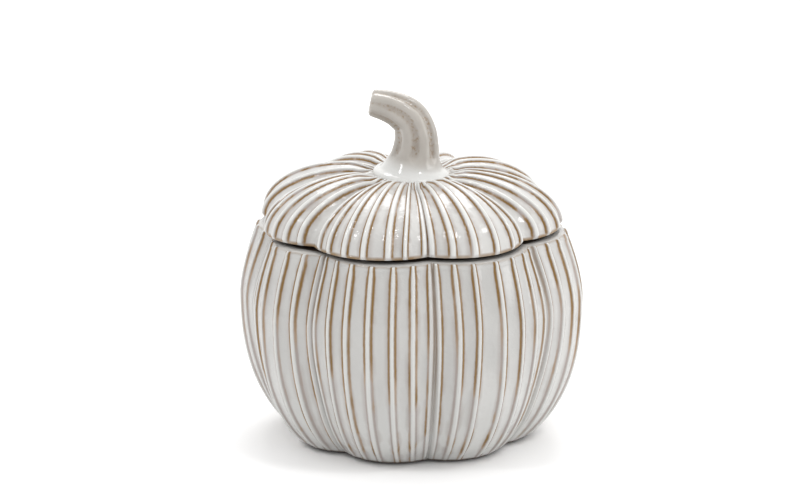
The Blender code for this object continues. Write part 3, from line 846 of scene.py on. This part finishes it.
def white_glaze(n, across, rib, cloud, whiteness, fade_height):
    """The glaze between the lines: mauve beside the ribs; whiter on the crests, partly glaze tone and partly
    painted light that the crests catch; and paler in the flutes toward the floor, painted light on the lower
    body.
    """
    flute_colour = tuple(whiteness * c for c in GLAZE_FLUTE)
    ridge_colour = tuple(whiteness * c for c in GLAZE_RIDGE)
    halo_end = n.ramp(n.noise(130.0, 2.0, (1.0, 1.0, 0.3)), 0.35, 0.65, 2.2, 3.8)
    halo = n.math("MULTIPLY", n.ramp(across, 1.0, halo_end, 0.60, 0.0), rib)
    # partly painted light: the crests are whiter than the flutes for the light they catch, partly a whiter
    # glaze tone
    crest = n.math("MULTIPLY", n.ramp(across, *CREST_FALL, 1.0, 0.0), rib)
    flute_tone = n.mix(n.ramp(cloud, 0.35, 0.68), flute_colour, tuple(0.90 * c for c in flute_colour))
    # painted light: toward the floor the flutes turn to the paler ridge colour, standing in for light on the
    # lower body
    lit_low_flutes = n.mix(n.ramp(n.height(), 0.0, 0.6 * fade_height, 1.0, 0.0), flute_tone, ridge_colour)
    return n.mix(crest, n.mix(halo, lit_low_flutes, BREAK_MAUVE), ridge_colour)


def ribbed_glaze(name, whiteness, line_width, fade_height):
    """White reactive glaze that breaks brown along the ribs' flanks and fades to mauve, over dark clay: bare
    at the foot, painted shade in the gap under the lid and on the lid's land, and bare clay with painted
    contact shadow along the lower edge.
    """
    n = Nodes(name)
    across = n.field("across")
    rib = n.field("rib")
    bare_and_shade = n.field("bare_and_shade")
    long_patches = n.noise(95.0, 2.0, (1.0, 1.0, 0.16))
    cloud = n.noise(28.0, 3.0)
    grain = n.noise(1400.0, 3.0)
    strength = break_strength(n, long_patches, fade_height)
    line_mask = n.math("MULTIPLY", break_line(n, across, strength, line_width), rib)
    base = white_glaze(n, across, rib, cloud, whiteness, fade_height)
    thin = n.mix(n.ramp(strength, 0.0, 0.45), BREAK_MAUVE, BREAK_TAN)
    brown = n.mix(n.ramp(strength, 0.35, 0.95), thin, BREAK_BROWN)
    amount = n.math("MULTIPLY", line_mask, n.ramp(strength, 0.0, 1.0, 0.70, 1.0))
    lined = n.mix(amount, base, brown)
    edge = n.math("MULTIPLY", n.field("edge"), n.ramp(long_patches, 0.3, 0.6, 0.55, 0.9))
    edged = n.mix(edge, lined, BREAK_BROWN)
    # painted shade: near-black clay where the mask is set, far darker than the bare clay of the ring
    clay_and_shade = n.mix(grain, tuple(0.85 * c for c in CLAY_AND_SHADE_DARK), CLAY_AND_SHADE_DARK)
    n.put(n.mix(bare_and_shade, edged, clay_and_shade), n.shader.inputs["Base Color"])
    gloss = n.ramp(cloud, 0.3, 0.7, *GLAZE_ROUGHNESS)
    n.put(n.math("ADD", gloss, n.math("MULTIPLY", bare_and_shade, BARE_ROUGHENING)), n.shader.inputs["Roughness"])
    waves = n.bump(n.noise(150.0, 1.0), 0.40 * MM)
    ripples = n.bump(n.noise(380.0, 2.0), 0.22 * MM, waves)
    skin = n.bump(n.noise(700.0, 1.0), 0.03 * MM, ripples)
    n.put(n.bump(grain, 0.06 * MM, skin), n.shader.inputs["Normal"])
    n.shader.inputs["IOR"].default_value = GLAZE_IOR
    return n.material


def stem_glaze():
    """Warmer, thinner glaze with brown in the flutes."""
    n = Nodes("stem_glaze_brushed")
    flute = n.field("flute")
    cloud = n.noise(55.0, 3.0)
    patches = n.noise(140.0, 3.0)
    dark = n.math("MULTIPLY", n.ramp(flute, 0.35, 0.95), n.ramp(patches, 0.30, 0.65, 0.35, 1.0))
    tone = n.mix(n.ramp(cloud, 0.35, 0.7), STEM_GLAZE, tuple(0.86 * c for c in STEM_GLAZE))
    collar = n.ramp(n.field("along"), 0.05, 0.20, 1.0, 0.0)
    lightened = n.mix(collar, tone, tuple(1.10 * c for c in GLAZE_RIDGE))
    shaded = n.mix(n.math("MULTIPLY", dark, 0.62), lightened, STEM_DARK)
    in_flutes = n.ramp(flute, 0.35, 0.95, 0.0, 0.60)
    spots = n.math("MULTIPLY", n.ramp(n.noise(650.0, 3.0), 0.50, 0.72), in_flutes)
    n.put(n.mix(spots, shaded, BREAK_BROWN), n.shader.inputs["Base Color"])
    n.put(n.ramp(cloud, 0.3, 0.7, *GLAZE_ROUGHNESS), n.shader.inputs["Roughness"])
    waves = n.bump(n.noise(220.0, 1.0), 0.30 * MM)
    n.put(n.bump(n.noise(900.0, 1.0), 0.04 * MM, waves), n.shader.inputs["Normal"])
    n.shader.inputs["IOR"].default_value = GLAZE_IOR
    return n.material


def bare_clay():
    """Unglazed fired clay."""
    n = Nodes("ring_clay_bare")
    grain = n.noise(1400.0, 4.0)
    patches = n.noise(90.0, 3.0)
    tone = n.mix(n.ramp(patches, 0.3, 0.7), BARE_CLAY, tuple(0.80 * c for c in BARE_CLAY))
    n.put(n.mix(n.ramp(grain, 0.55, 0.75, 0.0, 0.5), tone, CLAY_SPECK), n.shader.inputs["Base Color"])
    n.put(n.ramp(patches, 0.3, 0.7, *CLAY_ROUGHNESS), n.shader.inputs["Roughness"])
    n.put(n.bump(grain, 0.12 * MM), n.shader.inputs["Normal"])
    return n.material


def finish_piece(item, material, node, body):
    """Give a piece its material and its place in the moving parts."""
    item.data.materials.append(material)
    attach(item, body)
    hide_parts(node)


def area_light(name, location, target, size, power):
    """A softbox that points at a target."""
    light = bpy.data.lights.new(name, "AREA")
    light.shape = "RECTANGLE"
    light.size, light.size_y = size
    light.energy = power
    item = bpy.data.objects.new(name, light)
    item.location = location
    item.rotation_euler = (Vector(target) - Vector(location)).to_track_quat("-Z", "Y").to_euler()
    bpy.context.scene.collection.objects.link(item)


def make_stage():
    """A pale floor, a white surround and soft boxes."""
    size = FLOOR_HALF_SIZE
    corners = [(-size, -size, 0.0), (size, -size, 0.0), (size, size, 0.0), (-size, size, 0.0)]
    mesh = bpy.data.meshes.new("floor")
    mesh.from_pydata(corners, [], [(0, 1, 2, 3)])
    floor = bpy.data.objects.new("floor", mesh)
    bpy.context.scene.collection.objects.link(floor)
    n = Nodes("floor_white")
    n.shader.inputs["Base Color"].default_value = (*FLOOR_WHITE, 1.0)
    n.shader.inputs["Roughness"].default_value = 0.9
    n.shader.inputs["Specular IOR Level"].default_value = 0.0
    mesh.materials.append(n.material)
    make_surround()
    for soft_box in SOFT_BOXES:
        area_light(*soft_box)


def make_surround():
    """A white room that is darker on the side of the viewer."""
    world = bpy.data.worlds.new("white_surround")
    world.use_nodes = True
    tree = world.node_tree
    coordinates = tree.nodes.new("ShaderNodeTexCoord")
    split = tree.nodes.new("ShaderNodeSeparateXYZ")
    tree.links.new(coordinates.outputs["Generated"], split.inputs["Vector"])
    level = tree.nodes.new("ShaderNodeMapRange")
    level.interpolation_type = "SMOOTHSTEP"
    tree.links.new(split.outputs["Y"], level.inputs["Value"])
    level.inputs["From Min"].default_value = SURROUND_FRONT_END
    level.inputs["From Max"].default_value = 0.0
    level.inputs["To Min"].default_value = SURROUND_FRONT
    level.inputs["To Max"].default_value = SURROUND_BACK
    background = tree.nodes["Background"]
    background.inputs["Color"].default_value = (1.0, 1.0, 1.0, 1.0)
    tree.links.new(level.outputs["Result"], background.inputs["Strength"])
    bpy.context.scene.world = world


def make_camera():
    """A long lens in front of the jar and a little above it."""
    low, high = cad_box
    aim = Vector((AIM_SIDE, 0.0, low.z + AIM_HEIGHT_SHARE * (high.z - low.z)))
    camera = bpy.data.cameras.new("camera")
    camera.sensor_width = CAMERA_SENSOR
    camera.lens = CAMERA_SENSOR * CAMERA_DISTANCE / VIEW_WIDTH
    item = bpy.data.objects.new("camera", camera)
    back = Vector((0.0, -math.cos(CAMERA_ELEVATION), math.sin(CAMERA_ELEVATION)))
    item.location = aim + back * CAMERA_DISTANCE
    item.rotation_euler = (-back).to_track_quat("-Z", "Y").to_euler()
    bpy.context.scene.collection.objects.link(item)
    bpy.context.scene.camera = item


jar_glaze = ribbed_glaze("jar_glaze_reactive", 1.0, 1.0, RIM_HEIGHT)
# painted light: the lid's copy of the glaze is 12 % paler than the jar's, standing in for the light that falls
# on the lid
lid_glaze_lit = ribbed_glaze("lid_glaze_reactive_lit", 1.12, 0.62, 0.5 * RIM_HEIGHT)
finish_piece(make_body(), jar_glaze, "jar_body", "jar")
finish_piece(make_lid(), lid_glaze_lit, "lid_shell", "lid")
finish_piece(make_ring(), bare_clay(), "lid_locating_ring", "lid")
finish_piece(make_stem(), stem_glaze(), "stem_handle", "lid")
make_stage()
make_camera()
bpy.context.scene.view_settings.view_transform = "Standard"
